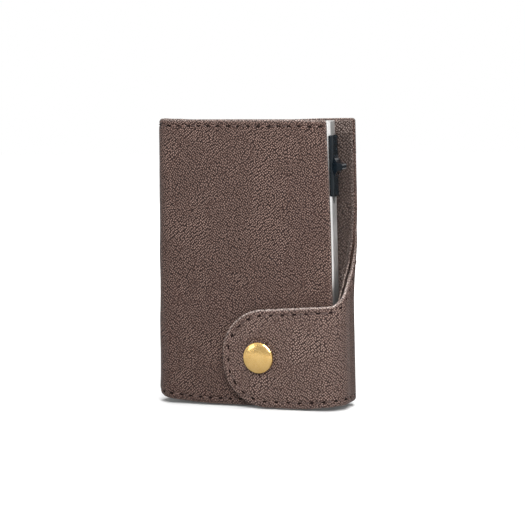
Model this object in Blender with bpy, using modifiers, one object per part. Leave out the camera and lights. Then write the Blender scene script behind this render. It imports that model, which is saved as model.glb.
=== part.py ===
# Pop up card holder: a leather wallet folded round a slim aluminium card case.
# Metres, +Z up. The front faces -Y, the spine is at -X and the slider at +X.
# The wallet stands on its bottom edges, with the origin under the middle of its box.

import math

import bmesh
import bpy
from mathutils import Matrix, Vector

MM = 0.001

# Driving dimensions, in millimetres
GAP = 0.3
WALLET_HEIGHT = 100.0

# Where the layout's own zero lies from the middle of the wallet's box
SHIFT_X = -0.054
SHIFT_Y = 0.252

# Aluminium case
CASE_WIDTH = 61.8
CASE_DEPTH = 8.2
CASE_BOTTOM = 0.8
CASE_TOP = 99.3
CASE_X = 0.2
CASE_Y = -0.6
CASE_WALL = 0.9
CASE_SIDE_FLAT = 3.8
CASE_ARC_STEPS = 8

# Leather plies
OUTER_PLY = 1.2
LINING_PLY = 0.6
POCKET_PLY = 0.6
TAPE_THICKNESS = 0.25

# Front panel and spine
FRONT_RIGHT = 31.3
SPINE_X = -29.0
SPINE_BULGE = 6.3
SPINE_STEPS = 18
SPINE_END_X = -30.4
LINING_INSET = 0.8
LEATHER_CORNER = 1.6

# Back cover
BACK_LEFT = -29.3
BACK_Y = 7.45
BACK_FLARE = 4.6
FLARE_START_Z = 33.0
FLARE_END_Z = 62.0
BACK_RIGHT_TOP = 35.3
BACK_RIGHT_LOW = 30.7
NECK_LOW_Z = 37.1
NECK_HIGH_Z = 46.7
BACK_COLUMNS = 10
BACK_ROWS = 22
POCKET_LEFT = -25.0
POCKET_BOTTOM = 2.0
POCKET_TOP = 94.6
POCKET_EDGE_INSET = 1.6

# Strap
STRAP_HEIGHT = 36.3
STRAP_SIDE_X = 35.4
STRAP_LIFT = 0.9
BACK_CORNER_RADIUS = 4.1
FRONT_CORNER_RADIUS = 4.6
CORNER_STEPS = 5
STRAP_TIP_X = -8.5
STRAP_TIP_RADIUS = 16.4
STRAP_TIP_TOP = 34.7
STRAP_LINING_INSET = 0.5
STRAP_JOINT_GAP = 0.6

# Snap fastener, whose axis runs along Y
SNAP_X = 5.4
SNAP_Z = 17.8
CAP_RADIUS = 5.5
CAP_DOME = 1.6
STEM_RADIUS = 3.3
BORE_RADIUS = 2.8
SOCKET_RADIUS = 5.0
STUD_BASE_RADIUS = 4.2
STUD_BASE = 0.4
BULB_RADIUS = 1.95
POST_RADIUS = 1.3
POST_FLANGE_RADIUS = 4.4
TURN_STEPS = 28

# Slider, carriage and ejector, drawn where the photograph shows them
SLOT_WIDTH = 2.4
SLOT_BOTTOM = 70.8
SLOT_TOP = 91.4
SLIDER_BOTTOM = 73.4
SLIDER_TOP = 94.5
PLATE_THICKNESS = 0.6
PLATE_HALF_ANGLE = 40.0
PLATE_CORNER = 1.2
NUB_Z = 83.6
NUB_REACH = 2.1
NUB_TIP_RADIUS = 1.2
NUB_NOSE = 1.1
NUB_ROUNDING = 0.4
NUB_FLANKS = (79.0, 88.8)
NUB_HALF_WIDTH = 2.2
NECK_HALF_WIDTH = 0.85
NECK_BOTTOM = 81.8
NECK_TOP = 86.4
CARRIAGE_BOTTOM = 74.6
CARRIAGE_TOP = 93.6
CARRIAGE_LEFT = 25.0
ARM_LEFT = 26.0
ARM_RIGHT = 29.1
ARM_HALF_DEPTH = 1.6
ARM_BOTTOM = 13.6
ARM_TOP = 82.0
STAIR_LEFT = 4.0
STAIR_STEPS = 5
STAIR_RISE = 2.0
STAIR_FOOT = 1.6
STAIR_DEPTH = 5.6

# Base of the case, with the two ledges that the cards stand on
BASE_FLOOR = 2.0
LEDGE_TOP = 12.8
LEDGES = ((-29.2, -19.0), (-9.0, 1.0))

# Felt pad that keeps the cards from sliding out
PAD_WIDTH = 34.0
PAD_BOTTOM = 58.0
PAD_TOP = 92.0
PAD_THICKNESS = 0.5

# Surfaces that follow from the driving dimensions
CASE_FRONT = CASE_Y - CASE_DEPTH / 2
CASE_BACK = CASE_Y + CASE_DEPTH / 2
CASE_RIGHT = CASE_X + CASE_WIDTH / 2
SIDE_CENTRE_X = CASE_RIGHT - CASE_DEPTH / 2
INNER_HALF_DEPTH = CASE_DEPTH / 2 - CASE_WALL
TAPE_FRONT = CASE_FRONT - GAP - TAPE_THICKNESS
LINING_FRONT = TAPE_FRONT - GAP - LINING_PLY
FRONT_Y = LINING_FRONT - GAP - OUTER_PLY
STRAP_START_X = STRAP_SIDE_X - BACK_CORNER_RADIUS
STRAP_INNER = FRONT_Y - STRAP_LIFT
STRAP_FRONT = STRAP_INNER - LINING_PLY - GAP - OUTER_PLY

COLOURS = {
    "leather": ((0.115, 0.062, 0.045), 0.55, 0.0),
    "lining": ((0.090, 0.055, 0.044), 0.65, 0.0),
    "aluminium": ((0.78, 0.78, 0.77), 0.32, 1.0),
    "plastic": ((0.012, 0.014, 0.020), 0.22, 0.0),
    "brass": ((0.68, 0.42, 0.14), 0.34, 1.0),
    "steel": ((0.55, 0.55, 0.55), 0.30, 1.0),
    "tape": ((0.80, 0.78, 0.72), 0.60, 0.0),
    "felt": ((0.05, 0.05, 0.055), 0.95, 0.0),
}


def clear_scene():
    for thing in list(bpy.data.objects):
        bpy.data.objects.remove(thing, do_unlink=True)


def new_collection(name):
    group = bpy.data.collections.new(name)
    bpy.context.scene.collection.children.link(group)
    return group


def give_material(thing, finish):
    colour, roughness, metallic = COLOURS[finish]
    material = bpy.data.materials.new(thing.name + "_" + finish)
    material.use_nodes = True
    shader = material.node_tree.nodes["Principled BSDF"]
    shader.inputs["Base Color"].default_value = (*colour, 1.0)
    shader.inputs["Roughness"].default_value = roughness
    shader.inputs["Metallic"].default_value = metallic
    thing.data.materials.clear()
    thing.data.materials.append(material)


def place(thing, group, finish=None):
    group.objects.link(thing)
    if finish:
        give_material(thing, finish)
    return thing


def cutter_style(thing):
    thing.hide_render = True
    thing.display_type = "WIRE"


def shifted(x, y, z):
    return Vector(((x + SHIFT_X) * MM, (y + SHIFT_Y) * MM, z * MM))


def curve_mesh(name, outlines, thickness):
    # A flat outline, or an outline with holes, extruded to a plate and welded
    curve = bpy.data.curves.new(name + "_outline", "CURVE")
    curve.dimensions = "2D"
    curve.fill_mode = "BOTH"
    curve.extrude = thickness * MM / 2
    for points in outlines:
        spline = curve.splines.new("POLY")
        spline.points.add(len(points) - 1)
        for spot, (u, v) in zip(spline.points, points):
            spot.co = (u * MM, v * MM, 0.0, 1.0)
        spline.use_cyclic_u = True
    holder = bpy.data.objects.new(name + "_curve", curve)
    bpy.context.scene.collection.objects.link(holder)
    bpy.context.view_layer.update()
    ready = holder.evaluated_get(bpy.context.evaluated_depsgraph_get())
    mesh = bpy.data.meshes.new_from_object(ready)
    mesh.name = name
    bpy.data.objects.remove(holder, do_unlink=True)
    shape = bmesh.new()
    shape.from_mesh(mesh)
    bmesh.ops.remove_doubles(shape, verts=shape.verts, dist=0.000001)
    bmesh.ops.recalc_face_normals(shape, faces=shape.faces)
    shape.to_mesh(mesh)
    shape.free()
    return mesh


def upright_plate(name, outlines, bottom, top):
    # The outline lies in XY and rises from bottom to top
    mesh = curve_mesh(name, outlines, top - bottom)
    thing = bpy.data.objects.new(name, mesh)
    thing.location = shifted(0.0, 0.0, (bottom + top) / 2)
    return thing


def front_plate(name, outlines, y_front, y_back):
    # The outline lies in XZ, seen from the front, and runs from y_front to y_back
    mesh = curve_mesh(name, outlines, y_back - y_front)
    mesh.transform(Matrix.Rotation(math.radians(90.0), 4, "X"))
    thing = bpy.data.objects.new(name, mesh)
    thing.location = shifted(0.0, (y_front + y_back) / 2, 0.0)
    return thing


def side_plate(name, outlines, x_left, x_right):
    # The outline is given as (Y, Z) and runs from x_left to x_right
    mesh = curve_mesh(name, outlines, x_right - x_left)
    turn = Matrix(((0.0, 0.0, 1.0), (1.0, 0.0, 0.0), (0.0, 1.0, 0.0))).to_4x4()
    mesh.transform(turn)
    thing = bpy.data.objects.new(name, mesh)
    thing.location = shifted((x_left + x_right) / 2, 0.0, 0.0)
    return thing


def block(name, low, high):
    mesh = bpy.data.meshes.new(name)
    shape = bmesh.new()
    bmesh.ops.create_cube(shape, size=1.0)
    size = [(b - a) * MM for a, b in zip(low, high)]
    bmesh.ops.scale(shape, vec=size, verts=shape.verts)
    shape.to_mesh(mesh)
    shape.free()
    thing = bpy.data.objects.new(name, mesh)
    thing.location = shifted(*[(a + b) / 2 for a, b in zip(low, high)])
    return thing


def turned(name, profile, y_front):
    # A profile of (radius, depth) about the snap's axis, depth counted from y_front to the back
    mesh = bpy.data.meshes.new(name)
    points = [(radius * MM, 0.0, -depth * MM) for radius, depth in profile]
    edges = [(i, (i + 1) % len(points)) for i in range(len(points) - 1)]
    if profile[0][0] > 0.0 and profile[-1][0] > 0.0:
        edges.append((len(points) - 1, 0))
    mesh.from_pydata(points, edges, [])
    thing = bpy.data.objects.new(name, mesh)
    screw = thing.modifiers.new("turn", "SCREW")
    screw.steps = TURN_STEPS
    screw.render_steps = TURN_STEPS
    screw.use_merge_vertices = True
    screw.merge_threshold = 0.00001
    thing.rotation_euler = (math.radians(90.0), 0.0, 0.0)
    thing.location = shifted(SNAP_X, y_front, SNAP_Z)
    return thing


def boolean(thing, cutter, operation):
    modifier = thing.modifiers.new(cutter.name, "BOOLEAN")
    modifier.object = cutter
    modifier.operation = operation
    modifier.solver = "EXACT"


def arc(centre_x, centre_y, radius_x, radius_y, start, end, steps):
    points = []
    for step in range(steps + 1):
        angle = math.radians(start + (end - start) * step / steps)
        points.append((centre_x + radius_x * math.cos(angle), centre_y + radius_y * math.sin(angle)))
    return points


def band(path, thickness):
    # A closed outline between a path and its copy moved left of the way it runs
    inner = []
    for i, (x, y) in enumerate(path):
        before = Vector(path[max(i - 1, 0)])
        here = Vector((x, y))
        after = Vector(path[min(i + 1, len(path) - 1)])
        normals = []
        for start, end in ((before, here), (here, after)):
            way = end - start
            if way.length > 0.0:
                way.normalize()
                normals.append(Vector((-way.y, way.x)))
        middle = sum(normals, Vector((0.0, 0.0))).normalized()
        reach = thickness / middle.dot(normals[0])
        inner.append((x + middle.x * reach, y + middle.y * reach))
    return path + inner[::-1]


def rounded_rectangle(left, right, bottom, top, radius, steps):
    return (arc(right - radius, bottom + radius, radius, radius, -90.0, 0.0, steps)
            + arc(right - radius, top - radius, radius, radius, 0.0, 90.0, steps)
            + arc(left + radius, top - radius, radius, radius, 90.0, 180.0, steps)
            + arc(left + radius, bottom + radius, radius, radius, 180.0, 270.0, steps))


def case_section(left, right, half_depth):
    # The case or what lies in it, seen from above: flat faces joined by round corners
    radius = half_depth - CASE_SIDE_FLAT / 2
    return rounded_rectangle(left, right, CASE_Y - half_depth, CASE_Y + half_depth, radius, CASE_ARC_STEPS)


def side_curve(half_depth, spread):
    # The right side of that outline, as far round its two corners as the spread in degrees
    radius = half_depth - CASE_SIDE_FLAT / 2
    centre_x = SIDE_CENTRE_X + CASE_SIDE_FLAT / 2
    return (arc(centre_x, CASE_Y - CASE_SIDE_FLAT / 2, radius, radius, -spread, 0.0, CASE_ARC_STEPS)
            + arc(centre_x, CASE_Y + CASE_SIDE_FLAT / 2, radius, radius, 0.0, spread, CASE_ARC_STEPS))


def round_leather_corners(sheet, left, right, inset, cutters):
    # Keeps what lies inside a rectangle with rounded corners, seen from the front
    outline = rounded_rectangle(left, right - inset, inset, WALLET_HEIGHT - inset, LEATHER_CORNER, 4)
    cutter = front_plate(sheet.name + "_corners", [outline], FRONT_Y - 2.0, BACK_Y + BACK_FLARE + 2.0)
    cutter_style(place(cutter, cutters))
    boolean(sheet, cutter, "INTERSECT")


def smooth_rise(value, low, high):
    share = min(max((value - low) / (high - low), 0.0), 1.0)
    return share * share * (3.0 - 2.0 * share)


def case_shell(parts, cutters):
    left = CASE_X - CASE_WIDTH / 2
    outer = case_section(left, CASE_RIGHT, CASE_DEPTH / 2)
    inner = case_section(left + CASE_WALL, CASE_RIGHT - CASE_WALL, INNER_HALF_DEPTH)
    shell = upright_plate("case_shell", [outer, inner], CASE_BOTTOM, CASE_TOP)
    half = SLOT_WIDTH / 2
    slot = (arc(CASE_Y, SLOT_TOP - half, half, half, 0.0, 180.0, 8)
            + arc(CASE_Y, SLOT_BOTTOM + half, half, half, 180.0, 360.0, 8))
    cutter = side_plate("slider_slot", [slot], SIDE_CENTRE_X, CASE_RIGHT + 1.0)
    cutter_style(place(cutter, cutters))
    boolean(shell, cutter, "DIFFERENCE")
    return place(shell, parts, "aluminium")


def case_base(parts, cutters):
    left = CASE_X - CASE_WIDTH / 2 + CASE_WALL + GAP
    right = CASE_RIGHT - CASE_WALL - GAP
    half = INNER_HALF_DEPTH - GAP
    outline = case_section(left, right, half)
    base = upright_plate("case_base", [outline], CASE_BOTTOM, LEDGE_TOP)
    well_floor = CASE_BOTTOM + BASE_FLOOR
    wells = ((LEDGES[0][1], LEDGES[1][0]), (LEDGES[1][1], CASE_RIGHT))
    for number, (well_left, well_right) in enumerate(wells):
        low = (well_left, CASE_FRONT, well_floor)
        high = (well_right, CASE_BACK, LEDGE_TOP + 1.0)
        cutter = block("base_well_" + str(number + 1), low, high)
        cutter_style(place(cutter, cutters))
        boolean(base, cutter, "DIFFERENCE")
    return place(base, parts, "plastic")


def ejector(parts, cutters):
    # The stair lifts each card by one step less than the card behind it
    tread = STAIR_DEPTH / STAIR_STEPS
    front = CASE_Y - STAIR_DEPTH / 2
    profile = [(front + STAIR_DEPTH, ARM_BOTTOM), (front, ARM_BOTTOM)]
    for step in range(STAIR_STEPS):
        height = ARM_BOTTOM + STAIR_FOOT + STAIR_RISE * step
        profile.append((front + tread * step, height))
        profile.append((front + tread * (step + 1), height))
    stair = side_plate("ejector_stair", [profile[::-1]], STAIR_LEFT, ARM_LEFT + 1.0)
    arm = block("ejector",
                (ARM_LEFT, CASE_Y - ARM_HALF_DEPTH, ARM_BOTTOM),
                (ARM_RIGHT, CASE_Y + ARM_HALF_DEPTH, ARM_TOP))
    cutter_style(place(stair, cutters))
    boolean(arm, stair, "UNION")
    return place(arm, parts, "plastic")


def slider_carriage(parts, cutters):
    half = INNER_HALF_DEPTH - GAP
    outline = side_curve(half, 90.0) + [(CARRIAGE_LEFT, CASE_Y + half), (CARRIAGE_LEFT, CASE_Y - half)]
    carriage = upright_plate("slider_carriage", [outline], CARRIAGE_BOTTOM, CARRIAGE_TOP)
    neck_pocket = block("neck_pocket",
                        (ARM_LEFT - GAP, CASE_Y - NECK_HALF_WIDTH - GAP, NECK_BOTTOM - GAP),
                        (CASE_RIGHT, CASE_Y + NECK_HALF_WIDTH + GAP, NECK_TOP + GAP))
    arm_pocket = block("arm_pocket",
                       (ARM_LEFT - GAP, CASE_Y - ARM_HALF_DEPTH - GAP, CARRIAGE_BOTTOM - 1.0),
                       (ARM_RIGHT + GAP, CASE_Y + ARM_HALF_DEPTH + GAP, ARM_TOP + GAP))
    for cutter in (neck_pocket, arm_pocket):
        cutter_style(place(cutter, cutters))
        boolean(carriage, cutter, "DIFFERENCE")
    return place(carriage, parts, "plastic")


def slider_button(parts, cutters):
    # A thin curved plate hugs the side of the case, with a thumb nub standing from it
    inner = CASE_DEPTH / 2 + GAP
    outer = inner + PLATE_THICKNESS
    spread = PLATE_HALF_ANGLE
    plate = side_curve(outer, spread) + side_curve(inner, spread)[::-1]
    button = upright_plate("slider_button", [plate], SLIDER_BOTTOM, SLIDER_TOP)
    reach = CASE_SIDE_FLAT / 2 + (outer - CASE_SIDE_FLAT / 2) * math.sin(math.radians(spread))
    window = rounded_rectangle(CASE_Y - reach, CASE_Y + reach, SLIDER_BOTTOM, SLIDER_TOP, PLATE_CORNER, 5)
    corners = side_plate("slider_corners", [window], SIDE_CENTRE_X, CASE_RIGHT + 2.0)
    cutter_style(place(corners, cutters))
    boolean(button, corners, "INTERSECT")

    face = SIDE_CENTRE_X + outer
    root = SIDE_CENTRE_X + inner + 0.1
    tip_x = face + NUB_REACH
    flank_low, flank_top = [nub_flank(face - 0.1, z, tip_x, NUB_Z + side * NUB_TIP_RADIUS)
                            for z, side in zip(NUB_FLANKS, (-1.0, 1.0))]
    tip = arc(tip_x, NUB_Z, NUB_NOSE, NUB_TIP_RADIUS, 90.0, -90.0, 8)
    side_view = [(root, NUB_FLANKS[1])] + flank_top + tip[1:-1] + flank_low[::-1] + [(root, NUB_FLANKS[0])]
    nub = front_plate("slider_nub", [side_view], CASE_Y - NUB_HALF_WIDTH, CASE_Y + NUB_HALF_WIDTH)
    rounding = nub.modifiers.new("rounding", "BEVEL")
    rounding.width = NUB_ROUNDING * MM
    rounding.segments = 3
    rounding.limit_method = "ANGLE"
    rounding.angle_limit = math.radians(40.0)
    cutter_style(place(nub, cutters))
    boolean(button, nub, "UNION")

    neck = block("slider_neck",
                 (ARM_RIGHT - 1.6, CASE_Y - NECK_HALF_WIDTH, ARM_TOP + 2 * GAP),
                 (SIDE_CENTRE_X + inner + PLATE_THICKNESS / 2, CASE_Y + NECK_HALF_WIDTH, NECK_TOP))
    cutter_style(place(neck, cutters))
    boolean(button, neck, "UNION")
    return place(button, parts, "plastic")


def nub_flank(x_root, z_root, x_tip, z_tip):
    # A hollow flank: it leaves the plate along Z and runs out to the tip along X
    points = []
    for step in range(9):
        share = step / 8.0
        angle = share * math.pi / 2
        points.append((x_root + (x_tip - x_root) * (1.0 - math.cos(angle)),
                       z_root + (z_tip - z_root) * math.sin(angle)))
    return points


def card_grip_pad(parts):
    y_wall = CASE_Y + INNER_HALF_DEPTH - GAP
    x_middle = CASE_X - 3.0
    pad = block("card_grip_pad",
                (x_middle - PAD_WIDTH / 2, y_wall - PAD_THICKNESS, PAD_BOTTOM),
                (x_middle + PAD_WIDTH / 2, y_wall, PAD_TOP))
    return place(pad, parts, "felt")


def case_tape(parts):
    tape = block("case_tape", (-22.0, TAPE_FRONT, 26.0), (24.0, TAPE_FRONT + TAPE_THICKNESS, 92.0))
    return place(tape, parts, "tape")


def round_hole(name, radius, y_front, y_back, cutters):
    circle = arc(SNAP_X, SNAP_Z, radius, radius, 0.0, 360.0, TURN_STEPS)[:-1]
    cutter = front_plate(name, [circle], y_front, y_back)
    cutter_style(place(cutter, cutters))
    return cutter


def wrap_path(surface_y, offset):
    # From the front's right edge, round the spine, to the hinge line of the back cover.
    # offset is how far the path lies inside the leather's outer face.
    end = math.degrees(math.acos((SPINE_X - SPINE_END_X) / (SPINE_BULGE - offset)))
    half_depth = (BACK_Y - offset - surface_y) / 2
    middle = (BACK_Y - offset + surface_y) / 2
    fold = arc(SPINE_X, middle, SPINE_BULGE - offset, half_depth, 270.0, 180.0 - end, SPINE_STEPS)
    return fold


def front_panel(parts, cutters):
    path = [(FRONT_RIGHT, FRONT_Y)] + wrap_path(FRONT_Y, 0.0)
    outline = band(path[::-1], OUTER_PLY)
    panel = upright_plate("front_panel", [outline], 0.0, WALLET_HEIGHT)
    hole = round_hole("post_hole_panel", POST_RADIUS + GAP, FRONT_Y - 1.0, LINING_FRONT - GAP / 2, cutters)
    boolean(panel, hole, "DIFFERENCE")
    round_leather_corners(panel, SPINE_X - SPINE_BULGE, FRONT_RIGHT, 0.0, cutters)
    return place(panel, parts, "leather")


def front_lining(parts, cutters):
    offset = OUTER_PLY + GAP
    path = [(FRONT_RIGHT - LINING_INSET, LINING_FRONT)] + wrap_path(LINING_FRONT, offset)
    outline = band(path[::-1], LINING_PLY)
    lining = upright_plate("front_lining", [outline], LINING_INSET, WALLET_HEIGHT - LINING_INSET)
    hole = round_hole("post_hole_lining", POST_FLANGE_RADIUS + GAP, LINING_FRONT - GAP / 2, TAPE_FRONT, cutters)
    boolean(lining, hole, "DIFFERENCE")
    return place(lining, parts, "lining")


def back_right_edge(z):
    return BACK_RIGHT_LOW + (BACK_RIGHT_TOP - BACK_RIGHT_LOW) * smooth_rise(z, NECK_LOW_Z, NECK_HIGH_Z)


def back_surface(x, z):
    # Outer face of the back cover: flat where the strap holds it, flaring away above
    share = (x - BACK_LEFT) / (BACK_RIGHT_TOP - BACK_LEFT)
    return BACK_Y + BACK_FLARE * share * smooth_rise(z, FLARE_START_Z, FLARE_END_Z)


def back_sheet(name, left, edge_inset, bottom, top, offset, thickness):
    bpy.ops.mesh.primitive_grid_add(x_subdivisions=BACK_COLUMNS, y_subdivisions=BACK_ROWS, size=2.0)
    thing = bpy.context.active_object
    thing.name = name
    thing.data.name = name
    for holder in list(thing.users_collection):
        holder.objects.unlink(thing)
    for vertex in thing.data.vertices:
        z = bottom + (top - bottom) * (vertex.co.y + 1.0) / 2
        right = back_right_edge(z) - edge_inset
        x = left + (right - left) * (vertex.co.x + 1.0) / 2
        vertex.co = Vector((x, back_surface(x, z) - offset, z)) * MM
    solid = thing.modifiers.new("thickness", "SOLIDIFY")
    solid.thickness = thickness * MM
    solid.offset = 1.0
    thing.location = shifted(0.0, 0.0, 0.0)
    return thing


def back_panel(parts, cutters):
    sheet = back_sheet("back_panel", BACK_LEFT, 0.0, 0.0, WALLET_HEIGHT, OUTER_PLY, -OUTER_PLY)
    round_leather_corners(sheet, BACK_LEFT - 2 * LEATHER_CORNER, BACK_RIGHT_TOP, 0.0, cutters)
    return place(sheet, parts, "leather")


def back_lining(parts):
    offset = OUTER_PLY + GAP + LINING_PLY
    sheet = back_sheet("back_lining", BACK_LEFT, LINING_INSET, LINING_INSET,
                       WALLET_HEIGHT - LINING_INSET, offset, -LINING_PLY)
    return place(sheet, parts, "lining")


def inner_pocket(parts):
    offset = OUTER_PLY + GAP + LINING_PLY + GAP + POCKET_PLY
    sheet = back_sheet("inner_pocket", POCKET_LEFT, POCKET_EDGE_INSET, POCKET_BOTTOM,
                       POCKET_TOP, offset, -POCKET_PLY)
    return place(sheet, parts, "leather")


def front_corner(offset, first, last):
    # Part of the strap's bend at the front, from the side (0 degrees) to the front (-90 degrees)
    radius = FRONT_CORNER_RADIUS - offset
    centre_x = STRAP_SIDE_X - FRONT_CORNER_RADIUS
    centre_y = STRAP_FRONT + FRONT_CORNER_RADIUS
    return arc(centre_x, centre_y, radius, radius, first, last, CORNER_STEPS)


def strap_side_path(offset):
    radius = BACK_CORNER_RADIUS - offset
    centre_y = BACK_Y - BACK_CORNER_RADIUS
    bend = arc(STRAP_START_X, centre_y, radius, radius, 90.0, 0.0, 2 * CORNER_STEPS)
    half_gap = math.degrees(STRAP_JOINT_GAP / 2 / FRONT_CORNER_RADIUS)
    return bend + front_corner(offset, 0.0, -45.0 + half_gap)


def strap_front_path(offset):
    half_gap = math.degrees(STRAP_JOINT_GAP / 2 / FRONT_CORNER_RADIUS)
    return front_corner(offset, -45.0 - half_gap, -90.0) + [(STRAP_TIP_X - 1.0, STRAP_FRONT + offset)]


def strap_side(name, offset, thickness, inset, finish, parts):
    outline = band(strap_side_path(offset)[::-1], thickness)
    side = upright_plate(name, [outline], inset, STRAP_HEIGHT - inset)
    return place(side, parts, finish)


def strap_outline(inset):
    # Seen from the front: a tab with a D-shaped end, its top edge rising a little to the right
    radius = STRAP_TIP_RADIUS - inset
    bottom = inset
    low = STRAP_TIP_RADIUS
    centre_x = STRAP_TIP_X + STRAP_TIP_RADIUS
    top = STRAP_TIP_TOP - inset
    outline = arc(centre_x, low, radius, radius, 270.0, 180.0, 12)
    outline += arc(centre_x, top - radius, radius, radius, 180.0, 90.0, 12)
    outline += [(STRAP_SIDE_X + 1.0, STRAP_HEIGHT - inset), (STRAP_SIDE_X + 1.0, bottom)]
    return outline[::-1]


def strap_front(name, offset, thickness, inset, hole_radius, finish, parts, cutters):
    outline = band(strap_front_path(offset)[::-1], thickness)
    strap = upright_plate(name, [outline], -1.0, STRAP_HEIGHT + 1.0)
    shape = front_plate(name + "_shape", [strap_outline(inset)], STRAP_FRONT - 1.0, 0.0)
    cutter_style(place(shape, cutters))
    boolean(strap, shape, "INTERSECT")
    hole = round_hole(name + "_hole", hole_radius, STRAP_FRONT - 1.0, STRAP_INNER + 1.0, cutters)
    boolean(strap, hole, "DIFFERENCE")
    return place(strap, parts, finish)


def snap_cap(parts):
    # Domed cap with a hollow stem that passes through the leather
    rim = STRAP_FRONT - GAP
    stem_end = STRAP_FRONT + OUTER_PLY
    apex = rim - CAP_DOME
    dome = []
    for step in range(9):
        angle = math.radians(90.0 * step / 8)
        dome.append((CAP_RADIUS * math.sin(angle), (CAP_DOME - 0.5) * (1.0 - math.cos(angle))))
    profile = dome + [(CAP_RADIUS, CAP_DOME), (STEM_RADIUS, CAP_DOME), (STEM_RADIUS, stem_end - apex),
                      (BORE_RADIUS, stem_end - apex), (BORE_RADIUS, CAP_DOME - 0.5), (0.0, CAP_DOME - 0.5)]
    return place(turned("snap_cap", profile, apex), parts, "brass")


def snap_socket(parts):
    # Ring set in the strap's lining, whose bore takes the stud
    front = STRAP_INNER - LINING_PLY - GAP / 2
    depth = LINING_PLY + 0.1
    profile = [(BORE_RADIUS + 0.3, 0.0), (SOCKET_RADIUS - 0.2, 0.0), (SOCKET_RADIUS, 0.2),
               (SOCKET_RADIUS, depth - 0.2), (SOCKET_RADIUS - 0.3, depth), (BORE_RADIUS + 0.3, depth),
               (BORE_RADIUS, depth - 0.3), (BORE_RADIUS, 0.2)]
    return place(turned("snap_socket", profile, front), parts, "brass")


def snap_stud(parts):
    # Flanged stud on the front panel, with a rounded bulb and a hole for the post
    flange_back = FRONT_Y - GAP
    top = flange_back - STUD_BASE - 1.75
    length = flange_back - top
    profile = [(0.0, 0.0), (1.1, 0.05), (1.6, 0.3), (BULB_RADIUS, 0.75), (1.7, 1.25), (1.6, 1.5),
               (1.7, length - STUD_BASE), (STUD_BASE_RADIUS - 0.2, length - STUD_BASE),
               (STUD_BASE_RADIUS, length - STUD_BASE + 0.2), (STUD_BASE_RADIUS, length),
               (0.9, length), (0.9, length - 0.9), (0.0, length - 0.9)]
    return place(turned("snap_stud", profile, top), parts, "brass")


def snap_post(parts):
    # Post whose flange lies behind the front leather and whose pin reaches the stud
    flange_front = LINING_FRONT
    top = FRONT_Y - GAP - 0.5
    reach = flange_front - top
    profile = [(0.0, 0.0), (0.55, 0.0), (0.6, 0.1), (0.6, GAP + 0.3), (POST_RADIUS, GAP + 0.7),
               (POST_RADIUS, reach), (POST_FLANGE_RADIUS - 0.2, reach), (POST_FLANGE_RADIUS, reach + 0.2),
               (POST_FLANGE_RADIUS, reach + 0.5), (0.0, reach + 0.5)]
    return place(turned("snap_post", profile, top), parts, "steel")


def joint_empty(name, x, y, z, members):
    # A moving piece hangs from an empty on its joint's axis and keeps its own place
    empty = bpy.data.objects.new(name, None)
    empty.empty_display_size = 5.0 * MM
    empty.location = shifted(x, y, z)
    bpy.context.scene.collection.objects.link(empty)
    for member in members:
        member.parent = empty
        member.matrix_parent_inverse = Matrix.Translation(-empty.location)
    return empty


def smooth_round_pieces(parts):
    for thing in parts.objects:
        thing.data.shade_smooth()
        thing.data.set_sharp_from_angle(angle=math.radians(32.0))


def main():
    clear_scene()
    parts = new_collection("pop_up_card_holder")
    cutters = new_collection("cutters")

    case_shell(parts, cutters)
    case_base(parts, cutters)
    card_grip_pad(parts)
    case_tape(parts)
    front_panel(parts, cutters)
    front_lining(parts, cutters)
    snap_stud(parts)
    snap_post(parts)

    slider = [ejector(parts, cutters), slider_carriage(parts, cutters), slider_button(parts, cutters)]
    joint_empty("slider_axis", SIDE_CENTRE_X, CASE_Y, NECK_BOTTOM, slider)

    cover = [back_panel(parts, cutters), back_lining(parts), inner_pocket(parts)]
    cover_axis = joint_empty("cover_axis", SPINE_X, BACK_Y - 1.0, 0.0, cover)

    lining_offset = OUTER_PLY + GAP
    sides = [strap_side("strap_side", 0.0, OUTER_PLY, 0.0, "leather", parts),
             strap_side("strap_side_lining", lining_offset, LINING_PLY, STRAP_LINING_INSET, "lining", parts)]
    side_axis = joint_empty("strap_side_axis", STRAP_START_X - GAP, BACK_Y, 0.0, sides)

    fronts = [strap_front("strap_front", 0.0, OUTER_PLY, 0.0, STEM_RADIUS + GAP, "leather", parts, cutters),
              strap_front("strap_front_lining", lining_offset, LINING_PLY, STRAP_LINING_INSET,
                          SOCKET_RADIUS + GAP, "lining", parts, cutters),
              snap_cap(parts), snap_socket(parts)]
    corner = math.sqrt(0.5) * FRONT_CORNER_RADIUS
    front_axis = joint_empty("strap_front_axis", STRAP_SIDE_X - FRONT_CORNER_RADIUS + corner,
                             STRAP_FRONT + FRONT_CORNER_RADIUS - corner, 0.0, fronts)
    for child, parent in ((front_axis, side_axis), (side_axis, cover_axis)):
        child.parent = parent
        child.matrix_parent_inverse = Matrix.Translation(-parent.location)
    smooth_round_pieces(parts)


main()
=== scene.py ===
import math

import bmesh
import bpy
from mathutils import Matrix, Vector, noise


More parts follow.
